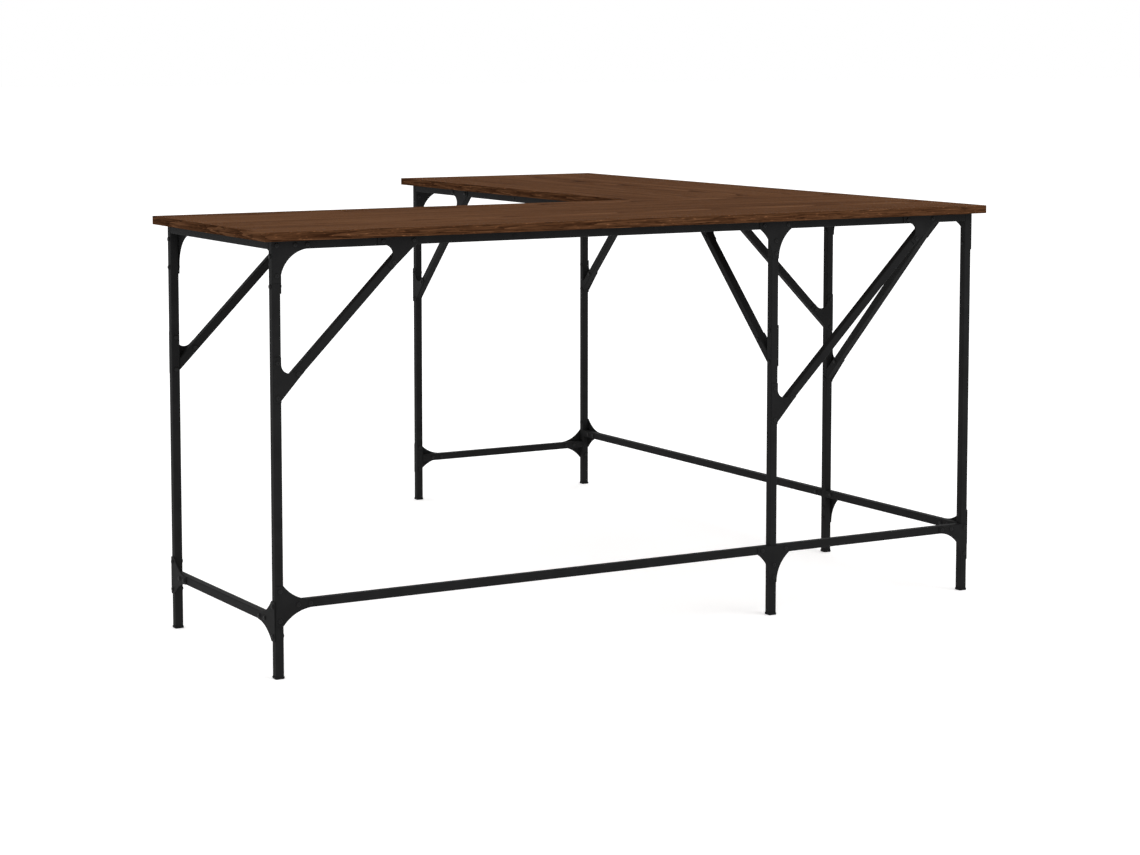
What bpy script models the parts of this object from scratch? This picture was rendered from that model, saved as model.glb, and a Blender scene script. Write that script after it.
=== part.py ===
"""Corner desk: two veneered boards in an L on a bolted frame of square steel tube.

Metres, +Z up. The origin is on the floor, under the middle of the desk's square outline. The long board
lies along X on the -Y side, and the side board runs on from it along Y on the +X side.
"""

import math

import bmesh
import bpy
from mathutils import Matrix, Vector

# Worktop
SIDE_X = 1.490  # outline along X, which is the long board's length
SIDE_Y = 1.490  # outline along Y
HEIGHT = 0.745
LONG_BOARD_DEPTH = 0.500
SIDE_BOARD_DEPTH = 0.500
BOARD_THICKNESS = 0.015
BOARD_EDGE_CHAMFER = 0.0005

# Frame of square tube
TUBE = 0.015
TUBE_WALL = 0.0012
TUBE_CORNER = 0.002
SETBACK = 0.020  # from a board's edge to the frame's outer faces
LOW_RAIL_HEIGHT = 0.1230  # centre of the low rails on the two long outer sides
END_RAIL_HEIGHT = 0.0968  # centre of the low rails at the two ends
BRACE_REACH = 0.250  # from a leg's centre line to where the brace meets the rail's centre line
LONG_BRACE_STOP = 0.0885  # from the corner leg's centre line to the tops of the two braces that lean to it
GAP = 0.0003  # left between pieces that touch

# Gusset plates, bolted on the faces of the tubes
PLATE = 0.0015
PLATE_INSET = 0.0008  # from a tube's side to the plate's edge, clear of the tube's rounded corner
END_PLATE_REACH = 0.055  # along the rail, past the leg
END_PLATE_RISE = 0.027  # along the leg, past the rail's edge
OUTER_PLATE_ARC = 0.054  # quarter round of the corner plates outside the frame
INNER_PLATE_REACH = 0.059
INNER_PLATE_ARC = 0.058
TEE_REACH = 0.0285
TEE_DROP = 0.055
LEG_BOLT_PITCH = 0.050
INNER_PLATE_DROP = 0.018  # the inner plates' bolts pass below the outer plates' bolts
RAIL_BOLTS = (0.033, 0.055)  # from the leg's centre line
TEE_RAIL_BOLT = 0.026
TEE_LEG_BOLTS = (0.029, 0.052)  # below the rail's centre line
BOLT_EDGE = 0.012  # from the last bolt to the plate's end
BRACKET_ARM = 0.035

# Gusset plates of the braces, measured from the point where the centre lines meet
BRACE_PLATE_TAIL = 0.010
BRACE_PLATE_FILLET = 0.0155
BRACE_PLATE_TIP = 0.0065
BRACE_PLATE_LENGTH = 0.062
BRACE_BOLT = 0.0515
BRACE_LEG_BOLTS = (-0.0015, 0.056)
BRACE_SINK = 0.0005  # the brace leans this far into its plates, to which it is fixed

# Dome-headed bolts
BOLT_HEAD = 0.0075
BOLT_CROWN = 0.0040
BOLT_RISE = 0.0018
BOLT_SIDES = 8

# Foot caps
FOOT_FLANGE = 0.0010  # past the tube on each side
FOOT_HEIGHT = 0.0040
FOOT_ROUND = 0.0012
FOOT_PLUG = 0.012

ARC_STEPS = 6

# Places that follow from the sizes
BOARD_UNDERSIDE = HEIGHT - BOARD_THICKNESS
FRAME_TOP = BOARD_UNDERSIDE - GAP
TOP_RAIL_HEIGHT = FRAME_TOP - TUBE / 2
LEFT = -SIDE_X / 2 + SETBACK + TUBE / 2
RIGHT = SIDE_X / 2 - SETBACK - TUBE / 2
NEAR = -SIDE_Y / 2 + SETBACK + TUBE / 2
FAR = SIDE_Y / 2 - SETBACK - TUBE / 2
INNER_X = SIDE_X / 2 - SIDE_BOARD_DEPTH + SETBACK + TUBE / 2
INNER_Y = -SIDE_Y / 2 + LONG_BOARD_DEPTH - SETBACK - TUBE / 2
LEGS = {
    "long_end_outer": (LEFT, NEAR),
    "long_end_inner": (LEFT, INNER_Y),
    "long_middle": (INNER_X, NEAR),
    "corner": (RIGHT, NEAR),
    "side_middle": (RIGHT, INNER_Y),
    "side_end_inner": (INNER_X, FAR),
    "side_end_outer": (RIGHT, FAR),
}
UNDER_A_RAIL = ("long_middle", "side_middle")

X = Vector((1, 0, 0))
Y = Vector((0, 1, 0))
Z = Vector((0, 0, 1))


def clear_scene():
    for obj in list(bpy.data.objects):
        bpy.data.objects.remove(obj, do_unlink=True)


def material(name, colour, roughness, metallic):
    made = bpy.data.materials.new(name)
    made.use_nodes = True
    shader = made.node_tree.nodes["Principled BSDF"]
    shader.inputs["Base Color"].default_value = (*colour, 1.0)
    shader.inputs["Roughness"].default_value = roughness
    shader.inputs["Metallic"].default_value = metallic
    return made


def face_out(bm):
    bmesh.ops.recalc_face_normals(bm, faces=bm.faces)
    if bm.calc_volume(signed=True) < 0:
        bmesh.ops.reverse_faces(bm, faces=bm.faces)


def add_object(name, bm, look, location):
    """The finished mesh as an object of its own, with its faces turned out."""
    face_out(bm)
    mesh = bpy.data.meshes.new(name)
    bm.to_mesh(mesh)
    bm.free()
    mesh.materials.append(look)
    obj = bpy.data.objects.new(name, mesh)
    obj.location = location
    bpy.context.scene.collection.objects.link(obj)
    return obj


def turned(along, across, out):
    """The matrix that lays a shape drawn in X and Y, with Z its thickness, on these three directions."""
    return Matrix((along, across, out)).transposed().to_4x4()


def rounded_square(width, corner):
    bm = bmesh.new()
    bmesh.ops.create_grid(bm, x_segments=1, y_segments=1, size=width / 2)
    bmesh.ops.bevel(
        bm, geom=bm.verts[:], offset=corner, segments=2, profile=0.5, affect="VERTICES"
    )
    return bm


def raise_faces(bm, height):
    """Extrudes the flat faces of the mesh along Z."""
    raised = bmesh.ops.extrude_face_region(bm, geom=bm.faces[:])["geom"]
    top = [item for item in raised if isinstance(item, bmesh.types.BMVert)]
    bmesh.ops.translate(bm, verts=top, vec=(0, 0, height))
    return top


def tube_mesh(length, mitre=0.0):
    """A square tube along Z, centred on its length. Each end leans out by mitre times X."""
    bm = rounded_square(TUBE, TUBE_CORNER)
    rim = bmesh.ops.inset_region(
        bm, faces=bm.faces[:], thickness=TUBE_WALL, use_boundary=True, use_even_offset=True
    )
    bore = [face for face in bm.faces if face not in rim["faces"]]
    bmesh.ops.delete(bm, geom=bore, context="FACES_ONLY")
    top = raise_faces(bm, length)
    for vert in bm.verts:
        end = 1 if vert in top else -1
        vert.co.z = end * (length / 2 + mitre * vert.co.x)
    return bm


def add_tube(name, start, end, look):
    """A straight tube whose length runs from start to end."""
    start, end = Vector(start), Vector(end)
    along = (end - start).normalized()
    side = X if abs(along.x) < 0.5 else Y
    bm = tube_mesh((end - start).length)
    bm.transform(turned(side, along.cross(side), along))
    return add_object(name, bm, look, (start + end) / 2)


def arc(centre, radius, start, end):
    """Points along an arc, from one angle in degrees to another."""
    angles = [math.radians(start + (end - start) * i / ARC_STEPS) for i in range(ARC_STEPS + 1)]
    return [
        (centre[0] + radius * math.cos(angle), centre[1] + radius * math.sin(angle))
        for angle in angles
    ]


def flat_plate(outline):
    bm = bmesh.new()
    bm.faces.new([bm.verts.new((*point, 0)) for point in outline])
    raise_faces(bm, PLATE)
    return bm


def fuse(bm, extra):
    """Joins a second mesh to the first by a Boolean union."""
    pieces = []
    for source in (bm, extra):
        face_out(source)
        mesh = bpy.data.meshes.new("fused")
        source.to_mesh(mesh)
        source.free()
        pieces.append(bpy.data.objects.new("fused", mesh))
        bpy.context.scene.collection.objects.link(pieces[-1])
    union = pieces[0].modifiers.new("union", "BOOLEAN")
    union.operation = "UNION"
    union.object = pieces[1]
    joined = bmesh.new()
    joined.from_object(pieces[0], bpy.context.evaluated_depsgraph_get())
    for piece in pieces:
        bpy.data.objects.remove(piece, do_unlink=True)
    return joined


def bolt_heads(points):
    """Low domed heads, sunk halfway into the plate that they are fused to."""
    bm = bmesh.new()
    bottom = PLATE / 2
    top = PLATE + BOLT_RISE
    for point in points:
        bmesh.ops.create_cone(
            bm,
            cap_ends=True,
            segments=BOLT_SIDES,
            radius1=BOLT_HEAD / 2,
            radius2=BOLT_CROWN / 2,
            depth=top - bottom,
            matrix=Matrix.Translation((*point, (top + bottom) / 2)),
        )
    return bm


def end_plate():
    """Joins a rail's end to a leg that runs on past it: X along the rail, Y up the leg."""
    half = TUBE / 2 - PLATE_INSET
    reach = half + END_PLATE_REACH
    rise = half + END_PLATE_RISE
    # Each arc leaves the rail's edge level and meets the leg's edge at the plate's end.
    radius = (END_PLATE_REACH**2 + END_PLATE_RISE**2) / (2 * END_PLATE_RISE)
    sweep = math.degrees(math.asin(END_PLATE_REACH / radius))
    upper = arc((reach, half + radius), radius, -90, -90 - sweep)
    lower = [(x, -y) for x, y in reversed(upper)]
    outline = [*upper, (-half, rise), (-half, -rise), *lower]
    bolts = [(x, 0) for x in RAIL_BOLTS]
    bolts += [(0, LEG_BOLT_PITCH / 2), (0, -LEG_BOLT_PITCH / 2)]
    return outline, bolts


def corner_plate(inner):
    """Joins a rail's end to the leg below it: X along the rail, Y up.

    An inner plate leaves out the corner that another rail fills, and its leg bolts pass below that rail.
    """
    half = TUBE / 2 - PLATE_INSET
    radius = INNER_PLATE_ARC if inner else OUTER_PLATE_ARC
    reach = half + (INNER_PLATE_REACH if inner else OUTER_PLATE_ARC)
    drop = INNER_PLATE_DROP if inner else 0
    foot = drop + LEG_BOLT_PITCH + BOLT_EDGE
    # The arc leaves the rail's edge level, and ends where it meets the leg's edge or the plate's foot.
    sweep = math.degrees(math.asin(min(1, (foot - half) / radius)))
    curve = arc((reach, -half - radius), radius, 90, 90 + sweep)
    outline = [*curve, (half, -foot), (-half, -foot)]
    if inner:
        beside = TUBE / 2 + GAP
        outline += [(-half, -beside), (beside, -beside), (beside, half)]
    else:
        outline += [(-half, half)]
    outline += [(reach, half)]
    bolts = [(x, 0) for x in RAIL_BOLTS]
    bolts += [(0, -drop), (0, -drop - LEG_BOLT_PITCH)]
    return outline, bolts


def tee_plate():
    """Joins a leg to the rails on both sides of it: X along the rails, Y up."""
    half = TUBE / 2 - PLATE_INSET
    reach = half + TEE_REACH
    # Each arc runs down into the leg's edge.
    radius = (TEE_REACH**2 + TEE_DROP**2) / (2 * TEE_REACH)
    sweep = math.degrees(math.asin(TEE_DROP / radius))
    right = arc((half + radius, -half - TEE_DROP), radius, 180 - sweep, 180)
    left = [(-x, y) for x, y in reversed(right)]
    outline = [(reach, half), *right, *left, (-reach, half)]
    bolts = [(TEE_RAIL_BOLT, 0), (-TEE_RAIL_BOLT, 0)]
    bolts += [(0, -drop) for drop in TEE_LEG_BOLTS]
    return outline, bolts


def brace_plate():
    """Joins a brace to a leg or rail: X along that tube on the brace's side, Y towards the brace."""
    half = TUBE / 2 - PLATE_INSET
    slant = half * math.sqrt(2)  # from the brace's centre line to its edge, along X or Y
    diagonal = Vector((1, 1)).normalized()
    square = Vector((1, -1)).normalized()
    # The fillet lies between the tube's edge and the brace's, which are 45 degrees apart.
    fillet_x = half + slant + BRACE_PLATE_FILLET * (1 + math.sqrt(2))
    fillet = arc((fillet_x, half + BRACE_PLATE_FILLET), BRACE_PLATE_FILLET, 270, 135)
    reach = max(fillet_x, BRACE_LEG_BOLTS[1]) + BRACE_PLATE_TAIL
    brace_end = diagonal * BRACE_PLATE_LENGTH
    shoulder = diagonal * (BRACE_PLATE_LENGTH - BRACE_PLATE_TAIL)
    outline = [(reach, -half), (reach, half), *fillet]
    outline += [tuple(brace_end + square * half), tuple(brace_end - square * half)]
    outline += [tuple(shoulder - square * half), (-BRACE_PLATE_TIP, half)]
    outline += [(-BRACE_PLATE_TAIL, half), (-BRACE_PLATE_TAIL, -half)]
    bolts = [(x, 0) for x in BRACE_LEG_BOLTS] + [tuple(diagonal * BRACE_BOLT)]
    return outline, bolts


def laid_plate(shape, place, along, up, out):
    """A plate with its bolt heads, laid on a face that looks along out."""
    outline, bolts = shape
    bm = fuse(flat_plate(outline), bolt_heads(bolts))
    bm.transform(turned(along, up, out))
    bm.transform(Matrix.Translation(place + out * (TUBE / 2 + GAP)))
    return bm


def add_plate(name, shape, node, along, out, look):
    return add_object(name, laid_plate(shape, Vector(), along, Z, out), look, node)


def add_brace(name, leg, along, out, reach, look):
    """A brace from a leg up to the rail above, fixed to the plate at each of its ends."""
    foot = Vector((*leg, TOP_RAIL_HEIGHT - reach))
    top = (along + Z) * reach
    rise = (along + Z).normalized()
    under = (along - Z).normalized()
    # Its ends are cut to lie against the leg's side and against the rail's underside.
    length = (reach - TUBE - 2 * GAP) * math.sqrt(2)
    tube = tube_mesh(length, mitre=1.0)
    tube.transform(turned(under, rise.cross(under), rise))
    tube.transform(Matrix.Translation(top / 2 + out * BRACE_SINK))
    foot_plate = laid_plate(brace_plate(), Vector(), Z, along, out)
    head_plate = laid_plate(brace_plate(), top, -along, -Z, out)
    return add_object(name, fuse(fuse(tube, foot_plate), head_plate), look, foot)


def add_board(name, low, high, look):
    size = Vector(high) - Vector(low)
    bm = bmesh.new()
    bmesh.ops.create_cube(bm, size=1, matrix=Matrix.Diagonal((*size, 1)))
    bmesh.ops.bevel(
        bm, geom=bm.edges[:], offset=BOARD_EDGE_CHAMFER, segments=1, profile=0.5, affect="EDGES"
    )
    return add_object(name, bm, look, (Vector(low) + Vector(high)) / 2)


def add_foot(name, leg, look):
    """A plastic cap: a flange that the leg stands on, and a plug inside the tube."""
    flange = TUBE + 2 * FOOT_FLANGE
    bm = rounded_square(flange, TUBE_CORNER + FOOT_FLANGE)
    sole = bm.edges[:]
    raise_faces(bm, FOOT_HEIGHT)
    face_out(bm)
    bmesh.ops.bevel(bm, geom=sole, offset=FOOT_ROUND, segments=2, profile=0.5, affect="EDGES")
    bm.faces.ensure_lookup_table()
    roof = max(bm.faces, key=lambda face: face.calc_center_median().z)
    shrink = FOOT_FLANGE + TUBE_WALL + GAP
    bmesh.ops.inset_region(bm, faces=[roof], thickness=shrink, use_even_offset=True)
    plug = bmesh.ops.extrude_face_region(bm, geom=[roof])["geom"]
    verts = [item for item in plug if isinstance(item, bmesh.types.BMVert)]
    bmesh.ops.translate(bm, verts=verts, vec=(0, 0, FOOT_PLUG))
    bmesh.ops.delete(bm, geom=[roof], context="FACES_ONLY")
    return add_object(name, bm, look, (*leg, 0))


def add_bracket(name, centre, look):
    """A flat cross under the place where the two inner rails meet."""
    half = TUBE / 2
    arm = half + BRACKET_ARM
    quarter = [(arm, -half), (arm, half), (half, half)]
    outline = []
    for turn in range(4):
        spin = Matrix.Rotation(math.radians(90 * turn), 2)
        outline += [tuple(spin @ Vector(point)) for point in quarter]
    bolts = [(arm - BOLT_EDGE, 0), (0, arm - BOLT_EDGE), (BOLT_EDGE - arm, 0), (0, BOLT_EDGE - arm)]
    bm = fuse(flat_plate(outline), bolt_heads(bolts))
    bm.transform(turned(X, -Y, -Z))
    return add_object(name, bm, look, (*centre, FRAME_TOP - TUBE - GAP))


def build_worktop():
    oak = material("brown_oak_veneer", (0.105, 0.052, 0.027), 0.55, 0.0)
    left, right = -SIDE_X / 2, SIDE_X / 2
    near, far = -SIDE_Y / 2, SIDE_Y / 2
    seam = near + LONG_BOARD_DEPTH
    add_board("board_long", (left, near, BOARD_UNDERSIDE), (right, seam, HEIGHT), oak)
    add_board(
        "board_side",
        (right - SIDE_BOARD_DEPTH, seam + GAP, BOARD_UNDERSIDE),
        (right, far, HEIGHT),
        oak,
    )


def build_legs(steel, plastic):
    for place, (x, y) in LEGS.items():
        top = FRAME_TOP - TUBE - GAP if place in UNDER_A_RAIL else FRAME_TOP
        add_tube(f"leg_{place}", (x, y, FOOT_HEIGHT + GAP), (x, y, top), steel)
        add_foot(f"foot_{place}", (x, y), plastic)


def build_rails(steel):
    """Rails end against the sides of the legs and rails that they meet."""
    stop = TUBE / 2 + GAP
    x_spans = {
        "rail_top_long_outer": (LEFT, RIGHT, NEAR, TOP_RAIL_HEIGHT),
        "rail_top_long_inner": (LEFT, RIGHT, INNER_Y, TOP_RAIL_HEIGHT),
        "rail_top_side_end": (INNER_X, RIGHT, FAR, TOP_RAIL_HEIGHT),
        "rail_low_long": (LEFT, INNER_X, NEAR, LOW_RAIL_HEIGHT),
        "rail_low_long_corner": (INNER_X, RIGHT, NEAR, LOW_RAIL_HEIGHT),
        "rail_low_side_end": (INNER_X, RIGHT, FAR, END_RAIL_HEIGHT),
    }
    y_spans = {
        "rail_top_side_outer": (NEAR, FAR, RIGHT, TOP_RAIL_HEIGHT),
        "rail_top_side_inner": (INNER_Y, FAR, INNER_X, TOP_RAIL_HEIGHT),
        "rail_top_side_inner_short": (NEAR, INNER_Y, INNER_X, TOP_RAIL_HEIGHT),
        "rail_top_long_end": (NEAR, INNER_Y, LEFT, TOP_RAIL_HEIGHT),
        "rail_low_side": (INNER_Y, FAR, RIGHT, LOW_RAIL_HEIGHT),
        "rail_low_side_corner": (NEAR, INNER_Y, RIGHT, LOW_RAIL_HEIGHT),
        "rail_low_long_end": (NEAR, INNER_Y, LEFT, END_RAIL_HEIGHT),
    }
    for name, (start, end, y, z) in x_spans.items():
        add_tube(name, (start + stop, y, z), (end - stop, y, z), steel)
    for name, (start, end, x, z) in y_spans.items():
        add_tube(name, (x, start + stop, z), (x, end - stop, z), steel)


def build_braces(steel):
    long_reach = RIGHT - INNER_X - LONG_BRACE_STOP
    side_reach = INNER_Y - NEAR - LONG_BRACE_STOP
    braces = {
        "brace_long_end_outer": ("long_end_outer", X, -Y, BRACE_REACH),
        "brace_long_end_inner": ("long_end_inner", X, Y, BRACE_REACH),
        "brace_long_middle_to_corner": ("long_middle", X, -Y, long_reach),
        "brace_long_middle_inward": ("long_middle", Y, X, BRACE_REACH),
        "brace_side_middle_to_corner": ("side_middle", -Y, X, side_reach),
        "brace_side_middle_inward": ("side_middle", -X, -Y, BRACE_REACH),
        "brace_side_end_inner": ("side_end_inner", -Y, -X, BRACE_REACH),
        "brace_side_end_outer": ("side_end_outer", -Y, X, BRACE_REACH),
    }
    for name, (place, along, out, reach) in braces.items():
        add_brace(name, LEGS[place], along, out, reach, steel)


def build_plates(steel):
    """Each row gives the leg, the rail's direction, the face that carries the plate and the shape."""
    outer, inner = corner_plate(inner=False), corner_plate(inner=True)
    end, tee = end_plate(), tee_plate()
    top, low, end_low = TOP_RAIL_HEIGHT, LOW_RAIL_HEIGHT, END_RAIL_HEIGHT
    plates = {
        "plate_top_long_end_outer": ("long_end_outer", X, -Y, top, outer),
        "plate_top_long_end_outer_inside": ("long_end_outer", Y, X, top, inner),
        "plate_top_long_end_inner": ("long_end_inner", -Y, X, top, inner),
        "plate_top_long_middle": ("long_middle", X, -Y, top, tee),
        "plate_top_corner": ("corner", Y, X, top, outer),
        "plate_top_side_middle": ("side_middle", Y, X, top, tee),
        "plate_top_side_end_outer": ("side_end_outer", -Y, X, top, outer),
        "plate_top_side_end_outer_inside": ("side_end_outer", -X, -Y, top, inner),
        "plate_top_side_end_inner": ("side_end_inner", X, -Y, top, inner),
        "plate_low_long_end_outer": ("long_end_outer", X, -Y, low, end),
        "plate_low_long_end_outer_side": ("long_end_outer", Y, -X, end_low, end),
        "plate_low_long_end_inner": ("long_end_inner", -Y, -X, end_low, end),
        "plate_low_long_middle": ("long_middle", X, -Y, low, tee),
        "plate_low_corner": ("corner", -X, -Y, low, outer),
        "plate_low_corner_side": ("corner", Y, X, low, end),
        "plate_low_side_middle": ("side_middle", Y, X, low, tee),
        "plate_low_side_end_outer": ("side_end_outer", -Y, X, low, end),
        "plate_low_side_end_outer_side": ("side_end_outer", -X, Y, end_low, end),
        "plate_low_side_end_inner": ("side_end_inner", X, Y, end_low, end),
    }
    for name, (place, along, out, height, shape) in plates.items():
        add_plate(name, shape, (*LEGS[place], height), along, out, steel)
    add_bracket("bracket_inner_corner", (INNER_X, INNER_Y), steel)


clear_scene()
black_steel = material("black_powder_coated_steel", (0.016, 0.016, 0.017), 0.5, 0.0)
black_plastic = material("black_plastic", (0.010, 0.010, 0.010), 0.6, 0.0)
build_worktop()
build_legs(black_steel, black_plastic)
build_rails(black_steel)
build_braces(black_steel)
build_plates(black_steel)
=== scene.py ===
import math

import bmesh
import bpy
from mathutils import Matrix, Vector


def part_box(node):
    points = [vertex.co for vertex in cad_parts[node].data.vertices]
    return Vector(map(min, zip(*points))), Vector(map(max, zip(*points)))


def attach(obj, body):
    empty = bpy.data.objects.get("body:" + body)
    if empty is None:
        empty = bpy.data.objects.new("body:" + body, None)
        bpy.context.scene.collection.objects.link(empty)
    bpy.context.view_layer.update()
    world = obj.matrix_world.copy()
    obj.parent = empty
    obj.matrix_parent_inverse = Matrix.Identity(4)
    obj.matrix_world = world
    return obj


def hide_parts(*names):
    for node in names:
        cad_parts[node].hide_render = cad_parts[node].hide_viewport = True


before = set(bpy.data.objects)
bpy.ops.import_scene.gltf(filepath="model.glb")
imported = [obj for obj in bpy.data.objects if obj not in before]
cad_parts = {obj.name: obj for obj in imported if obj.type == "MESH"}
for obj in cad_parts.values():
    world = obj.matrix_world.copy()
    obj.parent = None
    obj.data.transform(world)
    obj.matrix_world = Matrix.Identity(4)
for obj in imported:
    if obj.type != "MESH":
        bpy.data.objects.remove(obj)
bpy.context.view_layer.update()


# ---- Worktop panels ----
# Two particle board panels in an L, 15 mm thick, faced above and below with brown oak veneer whose grain runs
# along each board. The side panel butts against the long one with a hairline between them.
BAND = 0.0008  # thickness of the edge banding that the panels are cut back for
PANEL_EASING = 0.00015
OAK_DEEP = (0.026, 0.0095, 0.0042)
OAK_BROWN = (0.078, 0.0325, 0.0138)
OAK_WARM = (0.112, 0.0485, 0.0210)
OAK_PALE = (0.158, 0.0740, 0.0350)


def face_out(bm):
    bmesh.ops.recalc_face_normals(bm, faces=bm.faces)
    if bm.calc_volume(signed=True) < 0:
        bmesh.ops.reverse_faces(bm, faces=bm.faces)


def desk_piece(name, bm, finish, slot, *nodes):
    """The finished mesh as a piece of the desk, in the place of these CAD nodes."""
    mesh = bpy.data.meshes.new(name)
    bm.to_mesh(mesh)
    bm.free()
    mesh.shade_smooth()
    mesh.set_sharp_from_angle(angle=math.radians(50))
    mesh.materials.append(finish)
    piece = bpy.data.objects.new(name, mesh)
    bpy.context.scene.collection.objects.link(piece)
    flats = piece.modifiers.new("flat_faces", "WEIGHTED_NORMAL")
    flats.keep_sharp = True
    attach(piece, "root")
    if nodes:
        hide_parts(*nodes)


def block(low, high, rounding, segments):
    """A square-edged block between two corners, with every edge eased."""
    low, high = Vector(low), Vector(high)
    bm = bmesh.new()
    bmesh.ops.create_cube(bm, size=1, matrix=Matrix.Diagonal((*(high - low), 1)))
    bmesh.ops.bevel(
        bm, geom=bm.edges[:], offset=rounding, segments=segments, profile=0.5, affect="EDGES", material=-1
    )
    bmesh.ops.translate(bm, verts=bm.verts, vec=(low + high) / 2)
    face_out(bm)
    return bm


def new_finish(name):
    finish = bpy.data.materials.new(name)
    finish.use_nodes = True
    nodes, links = finish.node_tree.nodes, finish.node_tree.links
    return finish, nodes, links, nodes["Principled BSDF"]


def stretched(nodes, links, source, scale, texture, **settings):
    """A texture read through a Mapping node that stretches the pattern along the grain."""
    stretch = nodes.new("ShaderNodeMapping")
    stretch.inputs["Scale"].default_value = scale
    links.new(source, stretch.inputs["Vector"])
    made = nodes.new(texture)
    for socket, value in settings.items():
        made.inputs[socket.replace("_", " ")].default_value = value
    links.new(stretch.outputs["Vector"], made.inputs["Vector"])
    return made


def mixed(nodes, links, share, first, second):
    mix = nodes.new("ShaderNodeMix")
    mix.inputs["Factor"].default_value = share
    links.new(first, mix.inputs["A"])
    links.new(second, mix.inputs["B"])
    return mix.outputs["Result"]


def ramp(nodes, links, source, stops):
    made = nodes.new("ShaderNodeValToRGB")
    colours = made.color_ramp.elements
    while len(colours) < len(stops):
        colours.new(0.5)
    for colour, (place, value) in zip(colours, stops):
        colour.position = place
        colour.color = (*value, 1) if isinstance(value, tuple) else (value, value, value, 1)
    links.new(source, made.inputs["Fac"])
    return made.outputs["Color"]


def worked(nodes, links, sum_kind, *values):
    """A Math node on these values, each a number or another node's output."""
    made = nodes.new("ShaderNodeMath")
    made.operation = sum_kind
    for socket, value in zip(made.inputs, values):
        if isinstance(value, (int, float)):
            socket.default_value = value
        else:
            links.new(value, socket)
    return made.outputs[0]


RING_PERIOD = 0.314  # of a wave texture's rings at a scale of 1


def growth_rings(nodes, links, grain, leaf, shift, tilt, start, spacing):
    """A log's rings cut at a slant, so that they nest as arches along the grain, in book-matched leaves."""
    split = nodes.new("ShaderNodeSeparateXYZ")
    links.new(grain, split.inputs[0])
    x, y, z = split.outputs
    matched = worked(nodes, links, "PINGPONG", worked(nodes, links, "ADD", y, shift), leaf)
    depth = worked(nodes, links, "MULTIPLY_ADD", x, tilt, start)
    log = nodes.new("ShaderNodeCombineXYZ")
    links.new(worked(nodes, links, "MULTIPLY", x, 0.07), log.inputs[0])
    links.new(worked(nodes, links, "SUBTRACT", matched, 0.45 * leaf), log.inputs[1])
    links.new(worked(nodes, links, "MULTIPLY_ADD", z, 0.03, depth), log.inputs[2])
    rings = nodes.new("ShaderNodeTexWave")
    rings.wave_type = "RINGS"
    rings.rings_direction = "X"
    rings.wave_profile = "SAW"
    rings.inputs["Scale"].default_value = RING_PERIOD / spacing
    rings.inputs["Distortion"].default_value = 4.0
    rings.inputs["Detail"].default_value = 3.0
    rings.inputs["Detail Scale"].default_value = 0.6
    links.new(log.outputs[0], rings.inputs["Vector"])
    return rings.outputs["Fac"]


def oak(name, turn, stops, streak, log, figure, pore_size, pores, flecks):
    """Brown oak whose grain lies along X once turned. streak and pore_size are how fine the streaks and pores
    run along the grain and across it, log is how its rings are cut, and figure is their share."""
    finish, nodes, links, shader = new_finish(name)
    place = nodes.new("ShaderNodeTexCoord")
    lay = nodes.new("ShaderNodeMapping")
    lay.inputs["Rotation"].default_value = turn.to_euler()
    links.new(place.outputs["Object"], lay.inputs["Vector"])
    grain = lay.outputs["Vector"]
    noise = "ShaderNodeTexNoise"
    streaks = stretched(
        nodes, links, grain, (streak[0], streak[1], streak[1]), noise, Scale=1.0, Detail=7.0, Roughness=0.66
    )
    tone = stretched(nodes, links, grain, (0.9, 9, 9), noise, Scale=1.0, Detail=2.0, Distortion=0.6)
    pore = stretched(
        nodes, links, grain, (pore_size[0], pore_size[1], pore_size[1]), noise, Scale=1.0, Detail=2.0, Roughness=0.5
    )
    ray = stretched(nodes, links, grain, (90, 420, 420), noise, Scale=1.0, Detail=1.0, Roughness=0.5)
    body = mixed(nodes, links, figure, streaks.outputs["Fac"], growth_rings(nodes, links, grain, *log))
    body = mixed(nodes, links, 0.22, body, tone.outputs["Fac"])
    colour = ramp(nodes, links, body, stops)
    open_pores = ramp(nodes, links, pore.outputs["Fac"], [(0.36, pores), (0.46, 1.0)])
    pale_rays = ramp(nodes, links, ray.outputs["Fac"], [(0.64, 1.0), (0.74, flecks)])
    for layer in (open_pores, pale_rays):
        tint = nodes.new("ShaderNodeMix")
        tint.data_type = "RGBA"
        tint.blend_type = "MULTIPLY"
        tint.inputs["Factor"].default_value = 1.0
        links.new(colour, tint.inputs["A"])
        links.new(layer, tint.inputs["B"])
        colour = tint.outputs["Result"]
    links.new(colour, shader.inputs["Base Color"])
    matt = nodes.new("ShaderNodeMapRange")
    matt.inputs["To Min"].default_value = 0.78
    matt.inputs["To Max"].default_value = 0.60
    links.new(body, matt.inputs["Value"])
    links.new(matt.outputs["Result"], shader.inputs["Roughness"])
    shader.inputs["Specular IOR Level"].default_value = 0.001
    relief = mixed(nodes, links, 0.5, open_pores, streaks.outputs["Fac"])
    bump = nodes.new("ShaderNodeBump")
    bump.inputs["Strength"].default_value = 0.25
    bump.inputs["Distance"].default_value = 0.0002
    links.new(relief, bump.inputs["Height"])
    links.new(bump.outputs["Normal"], shader.inputs["Normal"])
    return finish


along_x = Matrix.Identity(3)
along_y = Matrix.Rotation(math.radians(-90), 3, "Z")
veneer = [(0.36, OAK_DEEP), (0.445, OAK_BROWN), (0.535, OAK_WARM), (0.63, OAK_PALE)]
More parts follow.
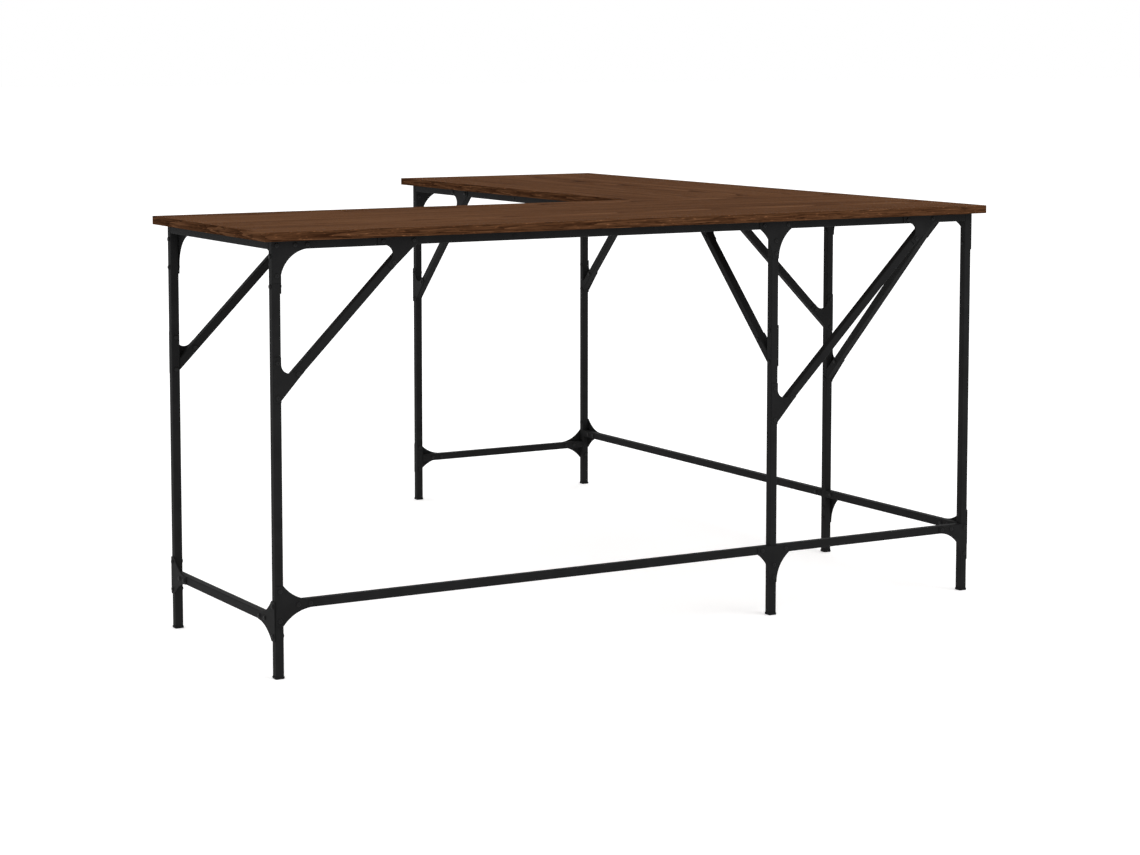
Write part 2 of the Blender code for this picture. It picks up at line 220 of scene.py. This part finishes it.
# Each log gives its leaf's width, the shift of the first leaf, how much the rings slant, where they start, and
# their spacing.
log_x = (0.26, 0.70, 0.035, 0.022, 0.0075)
log_y = (0.26, 0.64, -0.035, 0.030, 0.0075)
oak_along_x = oak("oak_veneer_along_x", along_x, veneer, (3.0, 190), log_x, 0.26, (70, 1500), 0.68, 1.15)
oak_along_y = oak("oak_veneer_along_y", along_y, veneer, (3.0, 190), log_y, 0.26, (70, 1500), 0.68, 1.15)

for board, finish in (("long", oak_along_x), ("side", oak_along_y)):
    low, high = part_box(f"board_{board}")
    inside = Vector((BAND, BAND, 0))
    bm = block(low + inside, high - inside, PANEL_EASING, 1)
    desk_piece(f"panel_{board}", bm, finish, "worktop", f"board_{board}")


# ---- Edge banding ----
# Strips of figured oak, 0.8 mm thick, glued on all four edges of each board and trimmed flush, with their
# outer corners eased. The strips on the ends fit between the strips on the long edges. Those that run along Y,
# facing along X, get the same oak at 0.84 of its colour, which is painted shade on those sides.
BAND_EASING = 0.00025
figured = [(0.35, OAK_DEEP), (0.45, (0.050, 0.0205, 0.0088)), (0.56, (0.082, 0.0350, 0.0156)), (0.72, OAK_PALE)]
upright = Matrix.Rotation(math.radians(90), 3, "X")
log_edge = (0.030, 0.751, 0.014, 0.016, 0.0021)
oak_edge_x = oak("oak_edge_along_x", upright @ along_x, figured, (9, 330), log_edge, 0.24, (34, 760), 0.40, 2.1)
# The same figured oak at 0.84 of its colour: painted shade for the strips that run along Y.
painted_shade_figured = [(stop, tuple(0.84 * part for part in colour)) for stop, colour in figured]
oak_edge_y_painted_shade = oak("oak_edge_along_y_painted_shade", upright @ along_y, painted_shade_figured, (9, 330), log_edge, 0.24, (34, 760), 0.40, 2.1)

for board, runs_x in (("long", True), ("side", False)):
    low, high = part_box(f"board_{board}")
    cut = 0 if runs_x else BAND
    edges = {
        "near": ((low.x + cut, low.y, low.z), (high.x - cut, low.y + BAND, high.z), oak_edge_x),
        "far": ((low.x + cut, high.y - BAND, low.z), (high.x - cut, high.y, high.z), oak_edge_x),
        "left": ((low.x, low.y + BAND - cut, low.z), (low.x + BAND, high.y - BAND + cut, high.z), oak_edge_y_painted_shade),
        "right": ((high.x - BAND, low.y + BAND - cut, low.z), (high.x, high.y - BAND + cut, high.z), oak_edge_y_painted_shade),
    }
    for edge, (start, end, finish) in edges.items():
        desk_piece(f"banding_{board}_{edge}", block(start, end, BAND_EASING, 2), finish, "worktop")


# ---- Legs and rails ----
# Square tube of mild steel, 15 mm with a 1.2 mm wall and rolled corners, sawn to length and powder coated
# in matt black. Each rail ends against the side of the leg or rail that it meets.
WALL = 0.0012
CORNER = 0.0020
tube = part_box("leg_corner")[1].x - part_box("leg_corner")[0].x
X, Y, Z = Vector((1, 0, 0)), Vector((0, 1, 0)), Vector((0, 0, 1))


def coated_steel(name, colour, roughness, gloss, peel):
    """Powder coat: nearly black, with a faint cloudiness and the coat's fine orange peel."""
    finish, nodes, links, shader = new_finish(name)
    place = nodes.new("ShaderNodeTexCoord").outputs["Object"]
    clouds = stretched(nodes, links, place, (1, 1, 1), "ShaderNodeTexNoise", Scale=22.0, Detail=4.0, Roughness=0.6)
    grit = stretched(nodes, links, place, (1, 1, 1), "ShaderNodeTexNoise", Scale=950.0, Detail=3.0, Roughness=0.55)
    both = mixed(nodes, links, 0.45, clouds.outputs["Fac"], grit.outputs["Fac"])
    shades = [(0.30, tuple(c * 0.72 for c in colour)), (0.70, tuple(c * 1.28 for c in colour))]
    links.new(ramp(nodes, links, both, shades), shader.inputs["Base Color"])
    sheen = nodes.new("ShaderNodeMapRange")
    sheen.inputs["To Min"].default_value = roughness - 0.07
    sheen.inputs["To Max"].default_value = roughness + 0.07
    links.new(both, sheen.inputs["Value"])
    links.new(sheen.outputs["Result"], shader.inputs["Roughness"])
    shader.inputs["Specular IOR Level"].default_value = gloss
    bump = nodes.new("ShaderNodeBump")
    bump.inputs["Strength"].default_value = peel
    bump.inputs["Distance"].default_value = 0.0001
    links.new(grit.outputs["Fac"], bump.inputs["Height"])
    links.new(bump.outputs["Normal"], shader.inputs["Normal"])
    return finish


def rounded_square(width, corner, segments):
    bm = bmesh.new()
    bmesh.ops.create_grid(bm, x_segments=1, y_segments=1, size=width / 2)
    bmesh.ops.bevel(
        bm, geom=bm.verts[:], offset=corner, segments=segments, profile=0.5, affect="VERTICES", material=-1
    )
    return bm


def raised(bm, height):
    """Extrudes the flat faces of the mesh along Z, and gives the vertices at the top."""
    made = bmesh.ops.extrude_face_region(bm, geom=bm.faces[:])["geom"]
    top = [item for item in made if isinstance(item, bmesh.types.BMVert)]
    bmesh.ops.translate(bm, verts=top, vec=(0, 0, height))
    return top


def square_tube(length, mitre):
    """A tube along Z, centred on its length, each end leaning out by mitre times X."""
    bm = rounded_square(tube, CORNER, 5)
    rim = bmesh.ops.inset_region(
        bm, faces=bm.faces[:], thickness=WALL, use_boundary=True, use_even_offset=True
    )
    bore = [face for face in bm.faces if face not in rim["faces"]]
    bmesh.ops.delete(bm, geom=bore, context="FACES_ONLY")
    top = raised(bm, length)
    for vert in bm.verts:
        end = 1 if vert in top else -1
        vert.co.z = end * (length / 2 + mitre * vert.co.x)
    face_out(bm)
    return bm


def laid(along, across, out, place):
    """The matrix that lays a drawing in X and Y, with Z its thickness, on these directions at a place."""
    return Matrix.Translation(place) @ Matrix((along, across, out)).transposed().to_4x4()


def set_down(bm, lay, verts, faces):
    """Lays part of a mesh in its place, with its faces still outwards where the place is a mirror image."""
    bmesh.ops.transform(bm, matrix=lay, verts=verts)
    if lay.determinant() < 0:
        bmesh.ops.reverse_faces(bm, faces=faces)


black_coat = coated_steel("black_powder_coat", (0.0116, 0.0116, 0.0118), 0.58, 0.030, 0.22)
for node in sorted(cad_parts):
    if not node.startswith(("leg_", "rail_")):
        continue
    low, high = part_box(node)
    size = high - low
    along = max((X, Y, Z), key=size.dot)
    side = Y if along == X else X
    bm = square_tube(size.dot(along), 0)
    set_down(bm, laid(side, along.cross(side), along, (low + high) / 2), bm.verts, bm.faces)
    desk_piece(f"tube_{node}", bm, black_coat, "frame", node)


# ---- Foot caps ----
# Moulded plugs of black plastic, pushed into the open ends of the legs. The flange stands a little proud
# of the tube all round and is rounded underneath, where it meets the floor.
FOOT_ROUND = 0.0013
FOOT_EASING = 0.0003


def moulded_plastic(name, colour):
    finish, nodes, links, shader = new_finish(name)
    place = nodes.new("ShaderNodeTexCoord").outputs["Object"]
    grain = stretched(nodes, links, place, (1, 1, 1), "ShaderNodeTexNoise", Scale=1400.0, Detail=2.0, Roughness=0.5)
    scuffs = stretched(nodes, links, place, (1, 1, 4), "ShaderNodeTexNoise", Scale=120.0, Detail=4.0, Roughness=0.6)
    shades = [(0.35, tuple(c * 0.8 for c in colour)), (0.72, tuple(c * 1.35 for c in colour))]
    links.new(ramp(nodes, links, scuffs.outputs["Fac"], shades), shader.inputs["Base Color"])
    links.new(ramp(nodes, links, scuffs.outputs["Fac"], [(0.3, 0.50), (0.7, 0.66)]), shader.inputs["Roughness"])
    shader.inputs["Specular IOR Level"].default_value = 0.06
    bump = nodes.new("ShaderNodeBump")
    bump.inputs["Strength"].default_value = 0.25
    bump.inputs["Distance"].default_value = 0.0001
    links.new(grain.outputs["Fac"], bump.inputs["Height"])
    links.new(bump.outputs["Normal"], shader.inputs["Normal"])
    return finish


foot_plastic = moulded_plastic("black_moulded_plastic", (0.0085, 0.0085, 0.0087))
for node in sorted(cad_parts):
    if not node.startswith("foot_"):
        continue
    low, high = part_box(node)
    flange = high.x - low.x
    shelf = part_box(node.replace("foot_", "leg_"))[0].z - FOOT_EASING
    bm = rounded_square(flange, CORNER + (flange - tube) / 2, 5)
    sole = bm.edges[:]
    raised(bm, shelf)
    face_out(bm)
    bmesh.ops.bevel(
        bm, geom=sole, offset=FOOT_ROUND, segments=4, profile=0.5, affect="EDGES", material=-1
    )
    roof = max(bm.faces, key=lambda face: face.calc_center_median().z)
    bmesh.ops.bevel(
        bm, geom=roof.edges[:], offset=FOOT_EASING, segments=2, profile=0.5, affect="EDGES", material=-1
    )
    roof = max(bm.faces, key=lambda face: face.calc_center_median().z)
    shrink = (flange - tube) / 2 + WALL
    bmesh.ops.inset_region(bm, faces=[roof], thickness=shrink, use_even_offset=True)
    plug = bmesh.ops.extrude_face_region(bm, geom=[roof])["geom"]
    verts = [item for item in plug if isinstance(item, bmesh.types.BMVert)]
    bmesh.ops.translate(bm, verts=verts, vec=(0, 0, high.z - shelf))
    bmesh.ops.delete(bm, geom=[roof], context="FACES_ONLY")
    bmesh.ops.translate(bm, verts=bm.verts, vec=((low.x + high.x) / 2, (low.y + high.y) / 2, 0))
    face_out(bm)
    desk_piece(f"cap_{node}", bm, foot_plastic, "feet", node)


# ---- Bolts ----
# Low dome-headed machine bolts in black, with a small socket in the crown. Most pass through the plate and the
# whole tube, where a little round nut shows on the far side.
HEAD = 0.0080
HEAD_RISE = 0.0024
HEAD_EASING = 0.0017
SOCKET = 0.0026
SOCKET_DEPTH = 0.0009
NUT = 0.0080
NUT_RISE = 0.0030
NUT_EASING = 0.0013
BOLT_SINK = 0.0001  # a head is let this far into its plate
NUT_SINK = 0.0002  # and a nut this far into the tube
bolt_black = coated_steel("black_bolts", (0.0128, 0.0128, 0.0130), 0.42, 0.07, 0.05)


def disc(width, height, easing, segments):
    """A round head that stands up from Z = 0, with its crown rounded over."""
    bm = bmesh.new()
    bmesh.ops.create_circle(bm, cap_ends=True, segments=12, radius=width / 2)
    top = raised(bm, height)
    crown = [edge for edge in bm.edges if all(vert in top for vert in edge.verts)]
    bmesh.ops.bevel(
        bm, geom=crown, offset=easing, segments=segments, profile=0.5, affect="EDGES", material=-1
    )
    face_out(bm)
    return bm


def as_mesh(bm):
    mesh = bpy.data.meshes.new("pattern")
    bm.to_mesh(mesh)
    bm.free()
    return mesh


head = disc(HEAD, HEAD_RISE, HEAD_EASING, 3)
crown = max(head.faces, key=lambda face: face.calc_center_median().z)
land = crown.calc_perimeter() / (2 * math.pi) - SOCKET / 2
bmesh.ops.inset_region(head, faces=[crown], thickness=max(land, 0.0002), use_even_offset=True)
bmesh.ops.inset_region(head, faces=[crown], thickness=0.0001, depth=-SOCKET_DEPTH, use_even_offset=True)
bolt_head = as_mesh(head)
bolt_nut = as_mesh(disc(NUT, NUT_RISE, NUT_EASING, 2))
turned_over = Matrix.Rotation(math.pi, 4, "X")


def bolts(name, rows, blind=()):
    """Bolts for one or more plates. Each row gives a plate's matrix and the bolts' places on its drawing. The
    blind ones end in a thread inside the tube, with no nut."""
    bm = bmesh.new()
    for lay, points in rows:
        for point in points:
            ends = [(bolt_head, Matrix.Translation((*point, PLATE - BOLT_SINK)))]
            if point not in blind:
                ends.append((bolt_nut, Matrix.Translation((*point, NUT_SINK - tube)) @ turned_over))
            for pattern, lift in ends:
                old_verts, old_faces = len(bm.verts), len(bm.faces)
                bm.from_mesh(pattern)
                bm.verts.ensure_lookup_table()
                bm.faces.ensure_lookup_table()
                set_down(bm, lay @ lift, bm.verts[old_verts:], bm.faces[old_faces:])
    desk_piece(name, bm, bolt_black, "frame")


# ---- End plates ----
# Laser-cut plates of 1.5 mm steel that join a low rail's end to a leg that runs on past it. Two shallow
# curves sweep from the rail out to the leg, and four bolts hold each plate.
PLATE = 0.0015
PLATE_CORNER = 0.0010
PLATE_EASING = 0.0003
REST = 0.0003  # the hairline between a plate and the tube that it is bolted to
EDGE = tube / 2 - 0.0008  # a plate's half width along a tube, clear of the tube's rounded corners
LEG_PITCH = 0.050
RAIL_BOLTS = (0.033, 0.055)
BOLT_EDGE = 0.012


def cut_plate(start, *moves):
    """A flat plate whose outline is walked from start: two numbers are a straight run, three are an arc's
    centre and its angle in degrees."""
    bm = bmesh.new()
    tip = bm.verts.new((*start, 0))
    for move in moves:
        if len(move) == 2:
            tip = bmesh.ops.extrude_vert_indiv(bm, verts=[tip])["verts"][0]
            tip.co = Vector((*move, 0))
            continue
        swept = bmesh.ops.spin(
            bm, geom=[tip], cent=(*move[:2], 0), axis=Z, angle=math.radians(move[2]), steps=14, use_duplicate=False
        )
        tip = next(item for item in swept["geom_last"] if isinstance(item, bmesh.types.BMVert))
    bmesh.ops.extrude_vert_indiv(bm, verts=[tip])["verts"][0].co = Vector((*start, 0))
    bmesh.ops.remove_doubles(bm, verts=bm.verts[:], dist=0.00002)
    bmesh.ops.edgeloop_fill(bm, edges=bm.edges[:])
    corners = [vert for vert in bm.verts if vert.calc_edge_angle(0) > math.radians(60)]
    bmesh.ops.bevel(
        bm, geom=corners, offset=PLATE_CORNER, segments=3, profile=0.5, affect="VERTICES", material=-1
    )
    top = raised(bm, PLATE)
    face_out(bm)
    rim = [edge for edge in bm.edges if all(vert in top for vert in edge.verts)]
    bmesh.ops.bevel(
        bm, geom=rim, offset=PLATE_EASING, segments=2, profile=0.5, affect="EDGES", material=-1
    )
    face_out(bm)
    return bm


def centre_of(node):
    low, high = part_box(node)
    return (low + high) / 2


def bolted_plate(node, leg, rail, along, out, drawing, points, blind=()):
    """Lays a plate on the outer face of a leg, level with a rail, and bolts it through."""
    place = centre_of(f"leg_{leg}")
    place.z = centre_of(f"rail_{rail}").z
    lay = laid(along, Z, out, place + out * (tube / 2 + REST))
    bm = drawing()
    set_down(bm, lay, bm.verts, bm.faces)
    desk_piece(f"gusset_{node}", bm, black_coat, "frame", node)
    bolts(f"bolts_{node}", [(lay, points)], blind)


def end_plate():
    reach, rise = 0.055, 0.027
    radius = (reach**2 + rise**2) / (2 * rise)
    sweep = math.degrees(math.asin(reach / radius))
    return cut_plate(
        (EDGE + reach, EDGE),
        (EDGE + reach, EDGE + radius, -sweep),
        (-EDGE, EDGE + rise),
        (-EDGE, -EDGE - rise),
        (EDGE, -EDGE - rise),
        (EDGE + reach, -EDGE - radius, -sweep),
    )


end_bolts = [(x, 0) for x in RAIL_BOLTS] + [(0, LEG_PITCH / 2), (0, -LEG_PITCH / 2)]
for node, leg, rail, along, out in (
    ("plate_low_long_end_outer", "long_end_outer", "low_long", X, -Y),
    ("plate_low_long_end_outer_side", "long_end_outer", "low_long_end", Y, -X),
    ("plate_low_long_end_inner", "long_end_inner", "low_long_end", -Y, -X),
    ("plate_low_corner_side", "corner", "low_side_corner", Y, X),
    ("plate_low_side_end_outer", "side_end_outer", "low_side", -Y, X),
    ("plate_low_side_end_outer_side", "side_end_outer", "low_side_end", -X, Y),
    ("plate_low_side_end_inner", "side_end_inner", "low_side_end", X, Y),
):
    bolted_plate(node, leg, rail, along, out, end_plate, end_bolts)


# ---- Outer corner plates ----
# Plates of the same steel that join a rail's end to the leg below it, with a quarter round in the angle. They
# lie on the outside of the frame, at the tops of the corner legs and where a low rail meets the corner.
def outer_plate():
    radius, foot = 0.054, LEG_PITCH + BOLT_EDGE
    return cut_plate(
        (EDGE + radius, -EDGE),
        (EDGE + radius, -EDGE - radius, 90),
        (EDGE, -foot),
        (-EDGE, -foot),
        (-EDGE, EDGE),
        (EDGE + radius, EDGE),
    )


outer_bolts = [(x, 0) for x in RAIL_BOLTS] + [(0, 0), (0, -LEG_PITCH)]
for node, leg, rail, along, out in (
    ("plate_top_long_end_outer", "long_end_outer", "top_long_outer", X, -Y),
    ("plate_top_corner", "corner", "top_side_outer", Y, X),
    ("plate_top_side_end_outer", "side_end_outer", "top_side_outer", -Y, X),
    ("plate_low_corner", "corner", "low_long_corner", -X, -Y),
):
    bolted_plate(node, leg, rail, along, out, outer_plate, outer_bolts)


# ---- Inner corner plates ----
# The plates inside the frame's ends are notched round the rail that crosses them, so their leg bolts sit
# lower than those of the outer plates and miss them inside the tube. Their rail bolts end inside the rail.
INNER_DROP = 0.018


def inner_plate():
    radius, reach = 0.058, 0.059
    foot = INNER_DROP + LEG_PITCH + BOLT_EDGE
    sweep = math.degrees(math.asin(min(1, (foot - EDGE) / radius)))
    beside = tube / 2 + REST
    return cut_plate(
        (EDGE + reach, -EDGE),
        (EDGE + reach, -EDGE - radius, sweep),
        (EDGE, -foot),
        (-EDGE, -foot),
        (-EDGE, -beside),
        (beside, -beside),
        (beside, EDGE),
        (EDGE + reach, EDGE),
    )


inner_bolts = [(x, 0) for x in RAIL_BOLTS] + [(0, -INNER_DROP), (0, -INNER_DROP - LEG_PITCH)]
for node, leg, rail, along, out in (
    ("plate_top_long_end_outer_inside", "long_end_outer", "top_long_end", Y, X),
    ("plate_top_long_end_inner", "long_end_inner", "top_long_end", -Y, X),
    ("plate_top_side_end_outer_inside", "side_end_outer", "top_side_end", -X, -Y),
    ("plate_top_side_end_inner", "side_end_inner", "top_side_end", X, -Y),
):
    bolted_plate(node, leg, rail, along, out, inner_plate, inner_bolts, blind=inner_bolts[:2])


# ---- Tee plates ----
# At the two middle legs a plate like a tulip joins the leg to the rail on both sides of it, top and bottom,
# with one bolt in each wing and two down the leg.
def tee_plate():
    wing, drop = 0.0285, 0.055
    radius = (wing**2 + drop**2) / (2 * wing)
    sweep = math.degrees(math.asin(drop / radius))
    return cut_plate(
        (EDGE + wing, EDGE),
        (EDGE + wing, -EDGE),
        (EDGE + radius, -EDGE - drop, sweep),
        (-EDGE, -EDGE - drop),
        (-EDGE - radius, -EDGE - drop, sweep),
        (-EDGE - wing, EDGE),
    )


tee_bolts = [(0.026, 0), (-0.026, 0), (0, -0.029), (0, -0.052)]
for node, leg, rail, along, out in (
    ("plate_top_long_middle", "long_middle", "top_long_outer", X, -Y),
    ("plate_top_side_middle", "side_middle", "top_side_outer", Y, X),
    ("plate_low_long_middle", "long_middle", "low_long", X, -Y),
    ("plate_low_side_middle", "side_middle", "low_side", Y, X),
):
    bolted_plate(node, leg, rail, along, out, tee_plate, tee_bolts)


# ---- Inner corner bracket ----
# A flat cross of plate under the place where the two inner rails meet, where there is no leg. One bolt in
# each arm holds it up against the rails.
BRACKET_ARM = 0.035
low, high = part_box("bracket_inner_corner")
middle = (low + high) / 2
middle.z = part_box("rail_top_long_inner")[0].z
arm = tube / 2 + BRACKET_ARM
lay = laid(X, -Y, -Z, middle - Z * REST)
half = tube / 2
bm = cut_plate(
    (arm, -half), (arm, half), (half, half), (half, arm), (-half, arm), (-half, half),
    (-arm, half), (-arm, -half), (-half, -half), (-half, -arm), (half, -arm), (half, -half),
)
set_down(bm, lay, bm.verts, bm.faces)
desk_piece("gusset_bracket_inner_corner", bm, black_coat, "frame", "bracket_inner_corner")
out_to = arm - BOLT_EDGE
bolts("bolts_bracket_inner_corner", [(lay, [(out_to, 0), (0, out_to), (-out_to, 0), (0, -out_to)])])


# ---- Diagonal braces ----
# Each brace is the same square tube at 45 degrees between a leg and the rail above, its ends mitred to lie
# against them. A gusset at each end is bolted to the brace and, with two bolts, to the leg or rail.
BRACE_TAIL = 0.010
BRACE_TIP = 0.0065
BRACE_FILLET = 0.0155
BRACE_LENGTH = 0.062
BRACE_BOLT = 0.0515
BRACE_LEG_BOLTS = (-0.0015, 0.056)


def brace_plate():
    slant = EDGE * math.sqrt(2)
    diagonal, square = Vector((1, 1)).normalized(), Vector((1, -1)).normalized()
    fillet_x = EDGE + slant + BRACE_FILLET * (1 + math.sqrt(2))
    reach = max(fillet_x, BRACE_LEG_BOLTS[1]) + BRACE_TAIL
    end, shoulder = diagonal * BRACE_LENGTH, diagonal * (BRACE_LENGTH - BRACE_TAIL)
    return cut_plate(
        (reach, -EDGE),
        (reach, EDGE),
        (fillet_x, EDGE),
        (fillet_x, EDGE + BRACE_FILLET, -135),
        tuple(end + square * EDGE),
        tuple(end - square * EDGE),
        tuple(shoulder - square * EDGE),
        (-BRACE_TIP, EDGE),
        (-BRACE_TAIL, EDGE),
        (-BRACE_TAIL, -EDGE),
    )


across_brace = BRACE_BOLT / math.sqrt(2)
brace_bolts = [(x, 0) for x in BRACE_LEG_BOLTS] + [(across_brace, across_brace)]
rail_height = centre_of("rail_top_long_outer").z
for name, leg, along, out in (
    ("long_end_outer", "long_end_outer", X, -Y),
    ("long_end_inner", "long_end_inner", X, Y),
    ("long_middle_to_corner", "long_middle", X, -Y),
    ("long_middle_inward", "long_middle", Y, X),
    ("side_middle_to_corner", "side_middle", -Y, X),
    ("side_middle_inward", "side_middle", -X, -Y),
    ("side_end_inner", "side_end_inner", -Y, -X),
    ("side_end_outer", "side_end_outer", -Y, X),
):
    node = f"brace_{name}"
    reach = rail_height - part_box(node)[0].z - BRACE_TAIL
    foot = centre_of(f"leg_{leg}")
    foot.z = rail_height - reach
    top = foot + (along + Z) * reach
    rise, under = (along + Z).normalized(), (along - Z).normalized()
    bm = square_tube((reach - tube - 2 * REST) * math.sqrt(2), 1)
    set_down(bm, laid(under, rise.cross(under), rise, (foot + top) / 2), bm.verts, bm.faces)
    desk_piece(f"tube_{node}", bm, black_coat, "frame", node)
    lift = out * (tube / 2 + REST)
    rows = [(laid(Z, along, out, foot + lift), brace_bolts), (laid(-along, -Z, out, top + lift), brace_bolts)]
    for end, (lay, points) in zip(("foot", "head"), rows):
        bm = brace_plate()
        set_down(bm, lay, bm.verts, bm.faces)
        desk_piece(f"gusset_{node}_{end}", bm, black_coat, "frame", node)
    bolts(f"bolts_{node}", rows)


# ---- Hole plugs ----
# Round black plastic plugs that close the spare holes at mid-height in the top rails, two on the long
# side and two on the other.
PLUG = 0.0070
PLUG_RISE = 0.0011
PLUG_EASING = 0.0005
PLUG_SINK = 0.0003
plugs = (
    ("long_outer", -0.272, -Y),
    ("long_inner", -0.246, Y),
    ("side_outer", 0.272, X),
    ("side_inner", 0.246, -X),
)
for name, distance, out in plugs:
    rail = f"rail_top_{name}"
    place = centre_of(rail)
    along = X if abs(out.y) > 0.5 else Y
    place += along * (distance - place.dot(along)) + out * (tube / 2 - PLUG_SINK)
    bm = disc(PLUG, PLUG_RISE, PLUG_EASING, 3)
    set_down(bm, laid(along, out.cross(along), out, place), bm.verts, bm.faces)
    desk_piece(f"plug_{rail}", bm, foot_plastic, "feet")


# ---- Studio ----
# A plain white floor under soft white light from all round, with one large softbox above and in front.
bm = bmesh.new()
bmesh.ops.create_grid(bm, x_segments=1, y_segments=1, size=60, matrix=Matrix.Translation((0, 0, -0.0002)))
floor_mesh = as_mesh(bm)
floor_mesh.name = "floor"
studio_floor = bpy.data.objects.new("floor", floor_mesh)
paper, nodes, links, shader = new_finish("white_paper_floor")
fibres = stretched(
    nodes, links, nodes.new("ShaderNodeTexCoord").outputs["Object"], (1, 1, 1), "ShaderNodeTexNoise", Scale=3.0
)
links.new(ramp(nodes, links, fibres.outputs["Fac"], [(0.3, 0.90), (0.7, 0.92)]), shader.inputs["Base Color"])
shader.inputs["Roughness"].default_value = 0.9
shader.inputs["Specular IOR Level"].default_value = 0.0
shader.inputs["Emission Color"].default_value = (1, 1, 1, 1)
shader.inputs["Emission Strength"].default_value = 0.35
floor_mesh.materials.append(paper)
bpy.context.scene.collection.objects.link(studio_floor)

sky = bpy.data.worlds.new("white_studio")
sky.use_nodes = True
sky.node_tree.nodes["Background"].inputs["Color"].default_value = (1, 1, 1, 1)
sky.node_tree.nodes["Background"].inputs["Strength"].default_value = 1.0
bpy.context.scene.world = sky

lamp = bpy.data.lights.new("softbox", "AREA")
lamp.shape = "SQUARE"
lamp.size = 3.0
lamp.energy = 46
softbox = bpy.data.objects.new("softbox", lamp)
softbox.location = (1.8, -3.8, 3.6)
softbox.rotation_euler = (Vector((0, 0, 0.5)) - softbox.location).to_track_quat("-Z", "Y").to_euler()
softbox.visible_camera = False
bpy.context.scene.collection.objects.link(softbox)


# ---- Camera ----
# A long lens a little above the worktop, looking slightly down, with the long board in front running away
# to the right.
DOWNWARD = math.radians(5.307)
HEADING = -0.52515  # radians about Z, turned right from facing along Y
lens = bpy.data.cameras.new("camera")
lens.lens = 83.01
lens.sensor_width = 36.0
lens.shift_x = 0.00474
lens.shift_y = -0.12
lens.clip_end = 200.0
camera = bpy.data.objects.new("camera", lens)
camera.location = (-2.4577, -4.6694, 1.0461)
camera.rotation_euler = (math.pi / 2 - DOWNWARD, 0.0, HEADING)
bpy.context.scene.collection.objects.link(camera)
bpy.context.scene.camera = camera
bpy.context.scene.view_settings.view_transform = "Standard"

for pattern in (bolt_head, bolt_nut):
    bpy.data.meshes.remove(pattern)
